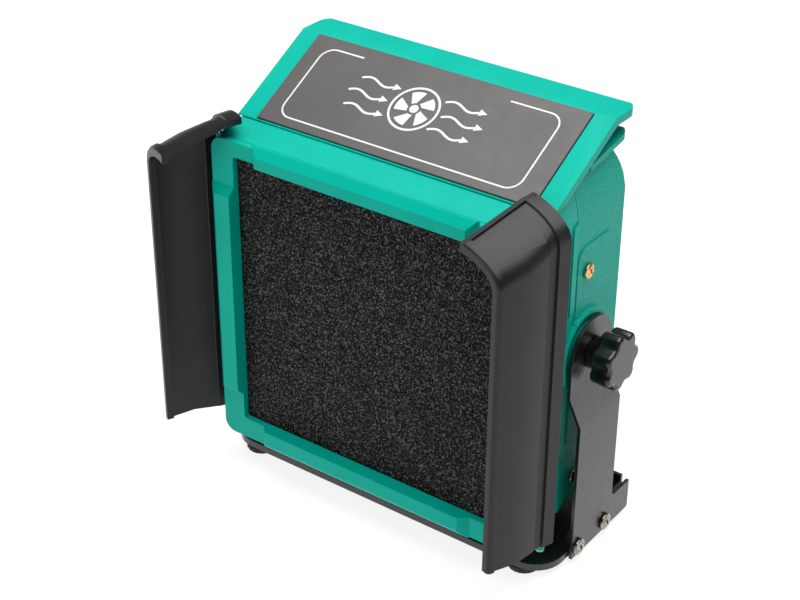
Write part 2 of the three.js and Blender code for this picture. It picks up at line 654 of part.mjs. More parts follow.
function fanBlade() {
  const rings = [];
  const depth = HUB_BACK - HUB_FRONT - 2;
  const middle = (HUB_FRONT + HUB_BACK) / 2;
  const root = HUB_RADIUS - 1;
  const tip = FAN_BORE - 1.4;
  const steps = 3;
  for (let step = 0; step <= steps; step += 1) {
    const share = step / steps;
    const radius = root + (tip - root) * share;
    const pitch = THREE.MathUtils.degToRad(48 - 20 * share);
    const chord = (depth / Math.sin(pitch)) * (1 - 0.35 * share);
    const thickness = 2 - 0.8 * share;
    const ring = bladeSection.map(([u, v]) => {
      const camber = 0.06 * chord * (0.25 - u * u) * 4;
      const along = u * chord;
      const off = v * thickness + camber;
      const tangential = along * Math.cos(pitch) - off * Math.sin(pitch);
      const axial = along * Math.sin(pitch) + off * Math.cos(pitch);
      const angle = tangential / radius;
      return [radius * Math.sin(angle), middle + axial * 0.98, radius * Math.cos(angle)];
    });
    rings.push(ring);
  }
  return lofted(rings, rings[0].map(([x, y]) => [x, y]));
}

function fanRotor() {
  const hub = turned('y', [
    [0, HUB_FRONT], [HUB_RADIUS - 3, HUB_FRONT], [HUB_RADIUS, HUB_FRONT + 3], [HUB_RADIUS, HUB_BACK],
    [HUB_RADIUS - 2, HUB_BACK], [HUB_RADIUS - 2, HUB_FRONT + 2.5], [0, HUB_FRONT + 2.5],
  ], [0, 0, 0], 28);
  const blade = fanBlade();
  const blades = [];
  for (let i = 0; i < BLADE_COUNT; i += 1) blades.push(blade.rotate([0, (360 / BLADE_COUNT) * i, 0]));
  const clearance = rod('y', HUB_RADIUS - 1.6, -REACH, REACH, [0, 0, 0], 28);
  return join(hub, ...blades.map((one) => cut(one, clearance)));
}

function ringPart(innerRadius, outerRadius, y0, y1, segments = 20) {
  return turned('y', [
    [innerRadius, y0], [outerRadius, y0], [outerRadius, y1], [innerRadius, y1], [innerRadius, y0],
  ], [0, 0, 0], segments);
}

function fanStator() {
  const ring = ringPart(TUBE_RADIUS + GAP, STATOR_RADIUS, HUB_FRONT + 9, HUB_BACK - 1, 32);
  const slots = [];
  for (let i = 0; i < 8; i += 1) {
    slots.push(box(-2.4, 2.4, -REACH, REACH, 14, STATOR_RADIUS + 2).rotate([0, 45 * i, 0]));
  }
  return cut(ring, ...slots);
}

// ---- Mains inlet and switch ------------------------------------------------------------------
// A rounded block centred on a cut-out of the back wall, larger than it by a margin all round.
function aroundCutout({ x, z, width, height }, margin, radii, y0, y1) {
  const [halfWidth, halfHeight] = [width / 2 + margin, height / 2 + margin];
  const shape = roundedRectangle(x - halfWidth, x + halfWidth, z - halfHeight, z + halfHeight, radii);
  return alongY(shape, y0, y1);
}

const FLANGE_FACE = BACK_DEPTH + GAP + 2;

function powerInlet() {
  const { x, z, depth } = INLET;
  const flange = aroundCutout(INLET, 2, 2, BACK_DEPTH + GAP, FLANGE_FACE);
  const body = aroundCutout(INLET, 0, 0, FLANGE_FACE - depth, FLANGE_FACE - 1);
  const cavity = aroundCutout(INLET, -1.7, [1, 1, 5, 5], FLANGE_FACE - depth + 4, REACH);
  const core = alongY(
    roundedRectangle(x - 8.5, x + 8.5, z - 5, z + 5, [1, 1, 3, 3]),
    FLANGE_FACE - depth + 3, FLANGE_FACE - depth + 8,
  );
  let result = join(cut(join(flange, body), cavity), core);
  for (const pin of INLET_PINS) {
    const hole = box(pin.x - 1.3, pin.x + 1.3, FLANGE_FACE - depth + 2, REACH, pin.z - 2.3, pin.z + 2.3);
    result = cut(result, hole);
  }
  return result;
}

const INLET_PINS = [
  { name: 'line', x: INLET.x - 5.5, z: INLET.z - 1.5 },
  { name: 'earth', x: INLET.x, z: INLET.z + 1.9 },
  { name: 'neutral', x: INLET.x + 5.5, z: INLET.z - 1.5 },
];

function inletPin({ x, z }) {
  return box(x - 1, x + 1, FLANGE_FACE - INLET.depth + 2.4, FLANGE_FACE - 5, z - 2, z + 2);
}

const ROCKER_AXIS_Y = BACK_DEPTH + 0.2;
const ROCKER_REST = 9; // degrees, pressed at the lower end

function switchBody() {
  const flange = aroundCutout(SWITCH, 1.5, 1.5, BACK_DEPTH + GAP, FLANGE_FACE - 0.4);
  const body = aroundCutout(SWITCH, 0, 0, BACK_DEPTH - SWITCH.depth, FLANGE_FACE - 1);
  const well = aroundCutout(SWITCH, -1.4, 0, BACK_DEPTH - 8, REACH);
  return cut(join(flange, body), well);
}

function switchRocker() {
  const { x, z, width, height } = SWITCH;
  const half = width / 2 - 1.9;
  const top = height / 2 - 1.9;
  const outline = [
    [-half, -2.4], [half, -2.4], [half, 2.2], [half * 0.5, 2.5],
    [0, 1.7], [-half * 0.5, 2.5], [-half, 2.2],
  ];
  const plate = alongZ(shapeOf(outline), -top, top);
  return plate.rotate([0, 0, ROCKER_REST]).translate([x, ROCKER_AXIS_Y + 1.4, z]);
}

// ---- Wings -----------------------------------------------------------------------------------
// The wing's own axes: chord runs away from the hinge axis, inward is towards the filter.
// The upright skin rolls over into a roof, with an upturned rim along the roof's inner edge.
function wingRing({ chord, outward, thickness, lift }, side) {
  const crown = WING_ROOF_Z - Math.max(chord, 0) * WING_ROOF_FALL;
  const rimTop = crown + WING_RIM_RISE;
  const steps = 7;
  const roll = (top, deep) => Array.from({ length: steps }, (_, i) => {
    const angle = (i / steps) * (Math.PI / 2);
    return [
      WING_ROOF - (WING_ROOF + outward - deep) * Math.cos(angle),
      top - WING_ROLL + (WING_ROLL - deep) * Math.sin(angle),
    ];
  });
  const outline = [
    [-outward, WING_BOTTOM],
    ...roll(crown + lift, 0),
    [WING_ROOF - WING_RIM, crown + lift],
    [WING_ROOF - WING_RIM, rimTop],
    [WING_ROOF, rimTop],
    [WING_ROOF, crown - thickness],
    ...roll(crown, thickness).reverse(),
    [-outward + thickness, WING_BOTTOM],
  ];
  return { flat: outline, ring: outline.map(([s, z]) => [-side * s, -chord, z]) };
}

const BARREL_RADIUS = 3.4;

function wing(side) {
  const thin = WING_THICKNESS;
  const thick = thin + 0.5;
  const bead = thin + 2.8;
  const raised = WING_RIM_RISE - 0.05;
  const groove = WING_SKIN - 1.2;
  const beadStart = WING_CHORD - WING_BEAD;
  const stations = [
    { chord: -4.2, outward: WING_SKIN, thickness: thick, lift: raised },
    { chord: WING_BAND, outward: WING_SKIN, thickness: thick, lift: raised },
    { chord: WING_BAND + 0.4, outward: groove, thickness: thin - 0.3, lift: 0 },
    { chord: WING_BAND + 5, outward: groove, thickness: thin - 0.3, lift: 0 },
    { chord: WING_BAND + 5.6, outward: WING_SKIN - 0.5, thickness: thin, lift: 0 },
    { chord: WING_CHORD * 0.56, outward: WING_SKIN + 2, thickness: thin, lift: 0 },
    { chord: beadStart - 0.4, outward: WING_SKIN, thickness: thin, lift: 0 },
    { chord: beadStart, outward: WING_SKIN + 1, thickness: bead, lift: raised },
    { chord: WING_CHORD - 1.6, outward: WING_SKIN + 0.8, thickness: bead, lift: raised },
    { chord: WING_CHORD - 0.5, outward: WING_SKIN, thickness: bead - 0.6, lift: raised - 0.3 },
    { chord: WING_CHORD, outward: WING_SKIN - 1.2, thickness: bead - 2, lift: 0 },
  ];
  const rings = stations.map((station) => wingRing(station, side));
  const panel = lofted(rings.map(({ ring }) => ring), rings[0].flat);
  const barrel = rod('z', BARREL_RADIUS, WING_BOTTOM, BARREL_TOP, [0, 0, 0], 20);
  const holeRadius = HINGE_PIN_RADIUS + 0.2;
  return cut(
    join(panel, barrel),
    rod('z', holeRadius, WING_BOTTOM - 5, WING_BOTTOM + 13, [0, 0, 0], 16),
    rod('z', holeRadius, BARREL_TOP - 13, BARREL_TOP + 0.4, [0, 0, 0], 16),
  );
}

function hingePin(upper) {
  const direction = upper ? 1 : -1;
  const seat = upper ? LUG_TOP + 0.2 : -BELOW_AXIS - 0.2;
  const body = turned('z', [
    [0, -15], [HINGE_PIN_RADIUS, -15], [HINGE_PIN_RADIUS, 0], [2.4, 0], [2.4, 1], [1.8, 1.5], [0, 1.5],
  ], [0, 0, 0], 10);
  return (direction > 0 ? body : body.mirror([0, 0, 1])).translate([0, 0, seat]);
}

// ---- Bracket ---------------------------------------------------------------------------------
function basePlate() {
  const half = ARM_LOW_INNER - GAP;
  const plan = (by) => roundedRectangle(
    -half + by, half - by, -BASE_FRONT + by, BASE_BACK - by,
    [BASE_CORNER - by, BASE_CORNER - by, 3 - by * 0.5, 3 - by * 0.5],
  );
  const plate = alongZ(plan(0), BASE_BOTTOM, BASE_TOP);
  const rim = cut(alongZ(plan(0), BASE_TOP - 0.5, BASE_TOP + 2.2), alongZ(plan(1.6), -REACH, REACH));
  const rise = BASE_TOP + FLANGE_HEIGHT;
  const backFlange = box(-half + 4, half - 4, BASE_BACK - SHEET, BASE_BACK, BASE_TOP - 0.5, rise);
  const sides = SIDES.map(([, side]) => mirrored(
    box(half - SHEET, half, -ARM_HALF_WIDTH + 1, ARM_FOOT_REACH - 3, BASE_TOP - 0.5, rise), side,
  ));
  let body = join(plate, rim, backFlange, ...sides);
  for (const y of [BASE_SCREW_FRONT, BASE_SCREW_REAR]) {
    body = cut(body, rod('x', 2.2, -REACH, REACH, [0, y, BASE_SCREW_Z], 16));
  }
  return body;
}

function arm(side) {
  const low = 3;
  const x = [ARM_INNER, ARM_INNER + SHEET];
  const jogTop = AXIS_HEIGHT - ARM_JOG_TOP;
  const jogLow = AXIS_HEIGHT - ARM_JOG_BOTTOM;
  const peak = AXIS_HEIGHT + ARM_HALF_WIDTH + 5;
  const section = shapeOf([
    [x[0], peak], [x[0], jogTop], [x[0] + ARM_JOG, jogLow], [x[0] + ARM_JOG, low - 1],
    [x[1] + ARM_JOG, low - 1], [x[1] + ARM_JOG, jogLow], [x[1], jogTop], [x[1], peak],
  ]);
  const outline = new THREE.Shape();
  outline.moveTo(-ARM_HALF_WIDTH, low);
  outline.lineTo(ARM_FOOT_REACH - 1, low);
  outline.lineTo(ARM_FOOT_REACH, low + 1);
  outline.lineTo(ARM_FOOT_REACH, low + ARM_FOOT_HEIGHT);
  outline.lineTo(ARM_HALF_WIDTH + 2, low + ARM_FOOT_HEIGHT);
  outline.lineTo(ARM_HALF_WIDTH, low + ARM_FOOT_HEIGHT + 2);
  outline.lineTo(ARM_HALF_WIDTH, AXIS_HEIGHT);
  outline.absarc(0, AXIS_HEIGHT, ARM_HALF_WIDTH, 0, Math.PI);
  outline.lineTo(-ARM_HALF_WIDTH, low);
  let body = alongY(section, -REACH, REACH)
    .intersect(extruded(outline, 2 * REACH, BASIS_X, [-REACH, 0, 0], 14));
  body = cut(body, rod('x', STUD_RADIUS + 0.4, 0, REACH, [0, 0, AXIS_HEIGHT], 24));
  for (const y of [BASE_SCREW_FRONT, BASE_SCREW_REAR]) {
    body = cut(body, rod('x', 2.8, 0, REACH, [0, y, BASE_SCREW_Z], 16));
  }
  return mirrored(body, side);
}

const KNOB_SEAT = ARM_INNER + SHEET + GAP;

function knob(side) {
  const outline = new THREE.Shape();
  const waist = KNOB_RADIUS * 0.885;
  const depth = (KNOB_RADIUS - waist) / 2;
  const steps = KNOB_LOBES * 6;
  for (let i = 0; i < steps; i += 1) {
    const angle = (i / steps) * 2 * Math.PI;
    const radius = waist + depth + depth * Math.cos(KNOB_LOBES * angle);
    const point = [radius * Math.cos(angle), radius * Math.sin(angle)];
    if (i === 0) outline.moveTo(...point);
    else outline.lineTo(...point);
  }
  const start = KNOB_SEAT + KNOB_HUB_LENGTH;
  const geometry = new THREE.ExtrudeGeometry(outline, {
    depth: KNOB_THICKNESS - 2,
    bevelThickness: 1,
    bevelSize: 1,
    bevelOffset: -1,
    bevelSegments: 1,
  });
  const head = solid(geometry.applyMatrix4(BASIS_X).translate(start + 1, 0, 0));
  const hub = turned('x', [
    [0, KNOB_SEAT], [KNOB_HUB_RADIUS, KNOB_SEAT], [KNOB_HUB_RADIUS, start - 1.5],
    [KNOB_HUB_RADIUS + 1.5, start + 0.5], [0, start + 0.5],
  ], [0, 0, 0], 24);
  const bore = rod('x', STUD_RADIUS + 0.2, 0, start + 6, [0, 0, 0], 16);
  return mirrored(cut(join(head, hub), bore), side);
}

function knobStud(side) {
  const end = KNOB_SEAT + KNOB_HUB_LENGTH + 5.6;
  const start = HALF - 12;
  const body = turned('x', [
    [0, start], [STUD_RADIUS - 1, start], [STUD_RADIUS, start + 1], [STUD_RADIUS, end], [0, end],
  ], [0, 0, 0], 14);
  return mirrored(body, side);
}

function pivotInsert(side) {
  const [start, end] = [HALF - 13.6, HALF + BOSS_HEIGHT - 0.4];
  const body = turned('x', [
    [STUD_RADIUS + 0.3, start], [6, start], [6, end], [STUD_RADIUS + 0.3, end], [STUD_RADIUS + 0.3, start],
  ], [0, 0, 0], 16);
  return mirrored(body, side);
}

function frictionWasher(side) {
  const start = HALF + BOSS_HEIGHT + GAP;
  const [inner, outerRadius] = [STUD_RADIUS + 0.6, BOSS_RADIUS - 9];
  const body = turned('x', [
    [inner, start], [outerRadius, start], [outerRadius, start + WASHER_THICKNESS],
    [inner, start + WASHER_THICKNESS], [inner, start],
  ], [0, 0, 0], 20);
  return mirrored(body, side);
}

function foot() {
  return turned('z', [
    [0, 0], [FOOT_RADIUS - 1.4, 0], [FOOT_RADIUS - 0.5, 0.5],
    [FOOT_RADIUS, 1.4], [FOOT_RADIUS, FOOT_HEIGHT], [0, FOOT_HEIGHT],
  ], [0, 0, 0], 20);
}

// ---- Assembly --------------------------------------------------------------------------------
const assembly = new THREE.Group();
const bracket = new THREE.Group();
const housing = new THREE.Group();
const knobs = new THREE.Group();
assembly.add(bracket, housing, knobs);
housing.position.z = AXIS_HEIGHT;
knobs.position.z = AXIS_HEIGHT;

place(bracket, 'base_plate', basePlate(), BLACK_STEEL());
const FOOT_X = ARM_LOW_INNER - 19;
const FOOT_Y = { front: -BASE_FRONT + 9, rear: BASE_BACK - 12 };
for (const [name, side] of SIDES) {
  place(bracket, `arm_${name}`, arm(side), BLACK_STEEL());
  for (const [end, y] of Object.entries(FOOT_Y)) {
    place(bracket, `foot_${end}_${name}`, foot(), RUBBER()).position.set(side * FOOT_X, y, 0);
  }
  for (const [end, y] of [['front', BASE_SCREW_FRONT], ['rear', BASE_SCREW_REAR]]) {
    const screw = place(bracket, `base_screw_${end}_${name}`, screwBody(5, 2.6, 2, 5), NICKEL());
    screw.position.set(side * (ARM_LOW_INNER + SHEET + GAP), y, BASE_SCREW_Z);
    if (side < 0) screw.rotation.z = Math.PI;
  }
  place(knobs, `knob_${name}`, knob(side), BLACK_PLASTIC());
  place(knobs, `knob_stud_${name}`, knobStud(side), NICKEL());
}

place(housing, 'front_shell', frontShell(), TEAL());
place(housing, 'rear_shell', rearShell(), TEAL());
place(housing, 'top_cover', topCover(), TEAL());
const label = labelSolid(0, LABEL_PROUD - LABEL_THICKNESS, LABEL_PROUD);
place(housing, 'label_panel', label, material('#5d5b59', 0.45));
place(housing, 'filter_frame', filterFrame(), TEAL());
place(housing, 'foam_filter', foamFilter(), material('#151516', 0.95));
place(housing, 'filter_grille', filterGrille(), BLACK_PLASTIC());
place(housing, 'fan_frame', fanFrame(), BLACK_PLASTIC());
place(housing, 'fan_stator', fanStator(), material('#6f6a64', 0.5, 0.8));
place(housing, 'fan_rotor', fanRotor(), BLACK_PLASTIC());
const shaft = rod('y', SHAFT_RADIUS, HUB_FRONT + 2.8, FAN_BACK - 2, [0, 0, 0], 16);
place(housing, 'fan_shaft', shaft, NICKEL());
const BEARING_LENGTH = 4;
for (const [name, y] of [['front', HUB_FRONT + 9], ['rear', FAN_BACK - 7]]) {
  const bearing = ringPart(SHAFT_RADIUS + 0.2, BEARING_RADIUS, y, y + BEARING_LENGTH, 14);
  place(housing, `fan_bearing_${name}`, bearing, NICKEL());
}
let fanScrewIndex = 0;
for (const x of [-1, 1]) {
  for (const z of [-1, 1]) {
    fanScrewIndex += 1;
    const screw = place(housing, `fan_screw_${fanScrewIndex}`, screwBody(4, 2.2, 1.8, 20), NICKEL());
    screw.position.set(x * FAN_SCREW_PITCH / 2, BACK_DEPTH + GAP, z * FAN_SCREW_PITCH / 2);
    screw.rotation.z = Math.PI / 2;
  }
}
place(housing, 'power_inlet', powerInlet(), BLACK_PLASTIC());
for (const pin of INLET_PINS) place(housing, `inlet_pin_${pin.name}`, inletPin(pin), NICKEL());
place(housing, 'switch_body', switchBody(), BLACK_PLASTIC());
place(housing, 'switch_rocker', switchRocker(), BLACK_PLASTIC());

for (const [name, side] of SIDES) {
  for (const [end, z] of [['upper', CASE_SCREW_HIGH], ['lower', CASE_SCREW_LOW]]) {
    const seat = z > 0 ? HALF + 0.7 + GAP : HALF + GAP;
    const screw = place(housing, `case_screw_${end}_${name}`, screwBody(4.3, 2.4, 1.5, 7), COPPER());
    screw.position.set(side * seat, CASE_SCREW_Y, z);
    if (side < 0) screw.rotation.z = Math.PI;
  }
  place(housing, `pivot_insert_${name}`, pivotInsert(side), BRASS());
  place(housing, `friction_washer_${name}`, frictionWasher(side), RUBBER());
  const hinge = new THREE.Group();
  hinge.position.set(side * (HALF + WING_AXIS_X), WING_AXIS_Y, 0);
  housing.add(hinge);
  const wingMesh = place(hinge, `wing_${name}`, wing(side), BLACK_PLASTIC());
  wingMesh.rotation.z = side > 0 ? WING_RIGHT_TURN : WING_LEFT_TURN;
  place(hinge, `hinge_pin_upper_${name}`, hingePin(true), NICKEL());
  place(hinge, `hinge_pin_lower_${name}`, hingePin(false), NICKEL());
}

// The origin is the middle of the whole model's footprint, on the surface it stands on.
assembly.updateMatrixWorld(true);
const bounds = new THREE.Box3().setFromObject(assembly, true);
const middle = bounds.getCenter(new THREE.Vector3());
assembly.position.set(-middle.x, -middle.y, -bounds.min.z);

const root = new THREE.Group();
root.add(assembly);
export default root;
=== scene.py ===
"""Solder fume extractor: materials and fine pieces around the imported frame. Metres, the frame's own axes."""
import math

import bmesh
import bpy
from mathutils import Matrix, Vector, noise


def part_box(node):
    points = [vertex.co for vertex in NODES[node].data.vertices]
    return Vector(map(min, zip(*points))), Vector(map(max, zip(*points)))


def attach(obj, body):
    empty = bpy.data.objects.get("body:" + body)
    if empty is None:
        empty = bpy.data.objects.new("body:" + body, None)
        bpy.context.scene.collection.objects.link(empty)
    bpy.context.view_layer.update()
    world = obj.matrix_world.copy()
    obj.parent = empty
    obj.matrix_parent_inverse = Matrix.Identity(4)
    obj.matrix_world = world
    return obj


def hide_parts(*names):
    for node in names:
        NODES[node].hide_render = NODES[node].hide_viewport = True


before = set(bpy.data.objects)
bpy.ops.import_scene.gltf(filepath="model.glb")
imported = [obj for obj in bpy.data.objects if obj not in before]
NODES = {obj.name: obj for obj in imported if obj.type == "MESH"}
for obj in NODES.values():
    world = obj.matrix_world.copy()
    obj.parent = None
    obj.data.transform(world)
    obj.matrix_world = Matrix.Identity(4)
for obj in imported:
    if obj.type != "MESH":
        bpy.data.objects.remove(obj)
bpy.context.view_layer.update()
MM = 0.001
SIDES = (("left", -1), ("right", 1))
ENDS = ("front", "rear")
HEIGHTS = ("upper", "lower")

# ---- Camera ------------------------------------------------------------------------------------
CAMERA_AZIMUTH = math.radians(36.07)
CAMERA_ELEVATION = math.radians(30.49)
CAMERA_ROLL = math.radians(0.39)
CAMERA_DISTANCE = 0.88
CAMERA_LENS = 77.9
CAMERA_SENSOR = 36
CAMERA_FAR = 50
AIM = Vector((0.0333, -0.0419, 0.1595))


def add_object(name, data):
    made = bpy.data.objects.new(name, data)
    bpy.context.collection.objects.link(made)
    return made


def facing(direction, roll=0.0):
    """A turn that points +Z along the direction, rolled about it."""
    return direction.to_track_quat("Z", "Y").to_matrix() @ Matrix.Rotation(roll, 3, "Z")


def add_camera():
    camera = add_object("camera", bpy.data.cameras.new("camera"))
    back = Vector((
        math.sin(CAMERA_AZIMUTH) * math.cos(CAMERA_ELEVATION),
        -math.cos(CAMERA_AZIMUTH) * math.cos(CAMERA_ELEVATION),
        math.sin(CAMERA_ELEVATION),
    ))
    turn = facing(back, CAMERA_ROLL).to_4x4()
    camera.matrix_world = Matrix.Translation(AIM + back * CAMERA_DISTANCE) @ turn
    camera.data.lens = CAMERA_LENS
    camera.data.sensor_width = CAMERA_SENSOR
    camera.data.clip_end = CAMERA_FAR
    bpy.context.scene.camera = camera


add_camera()


# ---- Materials ---------------------------------------------------------------------------------
class Nodes:
    """A short way to lay out one material's nodes."""

    def __init__(self, name):
        self.material = bpy.data.materials.new(name)
        self.material.use_nodes = True
        self.tree = self.material.node_tree
        self.shader = self.tree.nodes["Principled BSDF"]
        self.place = self.add("ShaderNodeTexCoord").outputs["Object"]

    def fill(self, node, values):
        """Links each value that is a socket, and sets the others on the node's own sockets."""
        for key, value in values.items():
            socket = node.inputs[key]
            if isinstance(value, bpy.types.NodeSocket):
                self.tree.links.new(value, socket)
            else:
                socket.default_value = value

    def add(self, kind, values=None, **settings):
        node = self.tree.nodes.new(kind)
        for key, value in settings.items():
            setattr(node, key, value)
        self.fill(node, values or {})
        return node

    def math(self, operation, first, second):
        return self.add("ShaderNodeMath", {0: first, 1: second}, operation=operation).outputs[0]

    def noise(self, scale, detail, rough=0.5):
        values = {"Vector": self.place, "Scale": scale, "Detail": detail, "Roughness": rough}
        return self.add("ShaderNodeTexNoise", values).outputs["Fac"]

    def cells(self, scale, feature="F1"):
        values = {"Vector": self.place, "Scale": scale}
        return self.add("ShaderNodeTexVoronoi", values, feature=feature).outputs["Distance"]

    def spread(self, value, low, high, start=0.3, end=0.7):
        """Maps start..end of the value to low..high. Noise mostly lies between 0.3 and 0.7."""
        values = {"Value": value, "From Min": start, "From Max": end, "To Min": low, "To Max": high}
        return self.add("ShaderNodeMapRange", values).outputs["Result"]

    def blend(self, factor, first, second):
        # A colour mix has its factor at input 0, its colours at 6 and 7, and its result at output 2.
        values = {0: factor, 6: (*first, 1), 7: (*second, 1)}
        return self.add("ShaderNodeMix", values, data_type="RGBA").outputs[2]

    def mottle(self, dark, light, scale, detail):
        """Two colours drifting into each other."""
        return self.blend(self.spread(self.noise(scale, detail), 0, 1), dark, light)

    def bump(self, height, strength, distance, under=None):
        values = {"Height": height, "Strength": strength, "Distance": distance}
        if under is not None:
            values["Normal"] = under
        return self.add("ShaderNodeBump", values).outputs["Normal"]

    def finish(self, **inputs):
        self.fill(self.shader, {key.replace("_", " "): value for key, value in inputs.items()})
        return self.material


def moulded_plastic(name, dark, light, rough, grain_scale, grain_strength, shine,
                    tint=(1, 1, 1), speckle=0.1):
    """Moulded plastic: faint colour drift, a spark-eroded grain, and slightly uneven gloss."""
    n = Nodes(name)
    grain = n.noise(grain_scale, detail=4, rough=0.6)
    drift = n.spread(n.noise(35, detail=4), 0, 1 - speckle)
    grains = n.spread(grain, 0, speckle, start=0.4, end=0.6)
    pits = n.bump(n.cells(grain_scale * 0.8), grain_strength * 0.6, 0.25 * MM)
    return n.finish(
        Base_Color=n.blend(n.math("ADD", drift, grains), dark, light),
        Roughness=n.spread(n.noise(grain_scale * 0.5, detail=3), rough - 0.05, rough + 0.06),
        Normal=n.bump(grain, grain_strength, 0.3 * MM, under=pits),
        Specular_IOR_Level=shine, Specular_Tint=(*tint, 1),
    )


def powder_coat():
    """Satin black powder coat with a faint orange peel."""
    n = Nodes("black_powder_coat")
    return n.finish(
        Base_Color=n.mottle((0.005, 0.005, 0.0055), (0.009, 0.009, 0.0095), scale=60, detail=3),
        Roughness=n.spread(n.noise(300, detail=3), 0.24, 0.34),
        Normal=n.bump(n.noise(900, detail=2), strength=0.05, distance=0.3 * MM),
        Specular_IOR_Level=0.75,
    )


def plated(name, dark, light, rough):
    """Plated metal with turned streaks and a few dull patches."""
    n = Nodes(name)
    return n.finish(
        Base_Color=n.mottle(dark, light, scale=400, detail=4),
        Roughness=n.spread(n.noise(900, detail=4), rough - 0.06, rough + 0.12),
        Normal=n.bump(n.noise(2600, detail=2), strength=0.08, distance=0.1 * MM),
        Metallic=1.0,
    )


def rubber():
    n = Nodes("black_rubber")
    return n.finish(
        Base_Color=n.mottle((0.006, 0.006, 0.006), (0.018, 0.018, 0.018), scale=80, detail=3),
        Roughness=n.spread(n.noise(500, detail=3), 0.62, 0.85),
        Normal=n.bump(n.noise(1500, detail=3), strength=0.3, distance=0.3 * MM),
    )


def label_film():
    n = Nodes("label_film")
    return n.finish(
        Base_Color=n.mottle((0.058, 0.055, 0.053), (0.074, 0.07, 0.067), scale=25, detail=3),
        Roughness=n.spread(n.noise(200, detail=4), 0.36, 0.48),
        Normal=n.bump(n.noise(3000, detail=2), strength=0.1, distance=0.1 * MM),
    )


def foam_cells():
    """Open-cell carbon foam: painted shade in the pores, painted highlights on the struts, and painted glints
    in patches.
    """
    n = Nodes("carbon_foam")
    # Base colour: the pores are darkened as painted shade and the struts are lightened as painted highlight.
    struts = n.spread(n.cells(520, "DISTANCE_TO_EDGE"), 1, 0, start=0.02, end=0.34)
    # Patches of painted glint: lighter in colour and less rough.
    glint_patches = n.spread(n.noise(900, detail=3), 0, 1, start=0.48, end=0.68)
    return n.finish(
        Base_Color=n.blend(n.math("MULTIPLY", struts, glint_patches), (0.0015, 0.0015, 0.0015), (0.15, 0.149, 0.146)),
        Roughness=n.spread(glint_patches, 0.85, 0.55, start=0, end=1), Specular_IOR_Level=0.2,
        Normal=n.bump(struts, strength=0.9, distance=0.6 * MM),
    )


def print_ink():
    n = Nodes("white_ink")
    return n.finish(
        Base_Color=n.mottle((0.62, 0.62, 0.61), (0.74, 0.74, 0.73), scale=900, detail=3),
        Roughness=0.5,
        Normal=n.bump(n.noise(4000, detail=2), strength=0.15, distance=0.05 * MM),
    )


def lamination():
    """Thin steel sheets stacked along Y."""
    n = Nodes("stator_laminations")
    wave = {"Vector": n.place, "Scale": 400.0, "Distortion": 0.4}
    sheets = n.add("ShaderNodeTexWave", wave, bands_direction="Y").outputs["Fac"]
    return n.finish(
        Base_Color=n.blend(sheets, (0.18, 0.16, 0.14), (0.33, 0.3, 0.27)),
        Roughness=0.45, Metallic=0.9,
        Normal=n.bump(sheets, strength=0.4, distance=0.2 * MM),
    )


TEAL_SHEEN = (0.1, 1.0, 0.9)
teal_smooth = moulded_plastic(
    "teal_plastic", (0.0, 0.345, 0.262), (0.0, 0.385, 0.295),
    rough=0.42, grain_scale=1900, grain_strength=0.16, shine=0.25, tint=TEAL_SHEEN)
teal_textured = moulded_plastic(
    "teal_plastic_textured", (0.0, 0.285, 0.22), (0.012, 0.39, 0.3),
    rough=0.5, grain_scale=900, grain_strength=0.6, shine=0.3, tint=TEAL_SHEEN, speckle=0.9)
wing_black = moulded_plastic(
    "wing_plastic", (0.006, 0.006, 0.0065), (0.01, 0.01, 0.0105),
    rough=0.36, grain_scale=2200, grain_strength=0.1, shine=0.34)
part_black = moulded_plastic(
    "black_plastic", (0.005, 0.005, 0.005), (0.01, 0.01, 0.01),
    rough=0.3, grain_scale=2000, grain_strength=0.12, shine=0.35)
knob_black = moulded_plastic(
    "knob_plastic", (0.005, 0.005, 0.0055), (0.008, 0.008, 0.009),
    rough=0.2, grain_scale=1500, grain_strength=0.08, shine=0.6)
steel_black = powder_coat()
nickel = plated("nickel_plate", (0.24, 0.215, 0.19), (0.46, 0.42, 0.38), 0.22)
copper = plated("yellow_zinc", (0.6, 0.34, 0.15), (0.8, 0.5, 0.26), 0.26)
brass = plated("brass", (0.45, 0.32, 0.11), (0.6, 0.44, 0.17), 0.3)
rubber_black = rubber()
film = label_film()
foam_black = foam_cells()
ink = print_ink()
laminations = lamination()

# ---- Carried-over CAD nodes --------------------------------------------------------------------
WELD_DISTANCE = 0.002 * MM
FLAT_WITHIN = math.radians(0.4)
EDGE_OVER = math.radians(33)


def finish_nodes(material, radius_mm, *names, segments=2):
    """Gives CAD nodes their material, rounds their edges, and shades them smoothly between."""
    for name in names:
        node = NODES[name]
        node.data.materials.clear()
        node.data.materials.append(material)
        for polygon in node.data.polygons:
            polygon.use_smooth = True
        weld = node.modifiers.new("weld", "WELD")
        weld.merge_threshold = WELD_DISTANCE
        merge = node.modifiers.new("merge_flats", "DECIMATE")
        merge.decimate_type = "DISSOLVE"
        merge.angle_limit = FLAT_WITHIN
        bevel = node.modifiers.new("edge", "BEVEL")
        bevel.width = radius_mm * MM
        bevel.segments = segments
        bevel.limit_method = "ANGLE"
        bevel.angle_limit = EDGE_OVER
        bevel.use_clamp_overlap = True
        bevel.harden_normals = False
        shading = node.modifiers.new("shading", "WEIGHTED_NORMAL")
        shading.keep_sharp = False
        shading.weight = 80


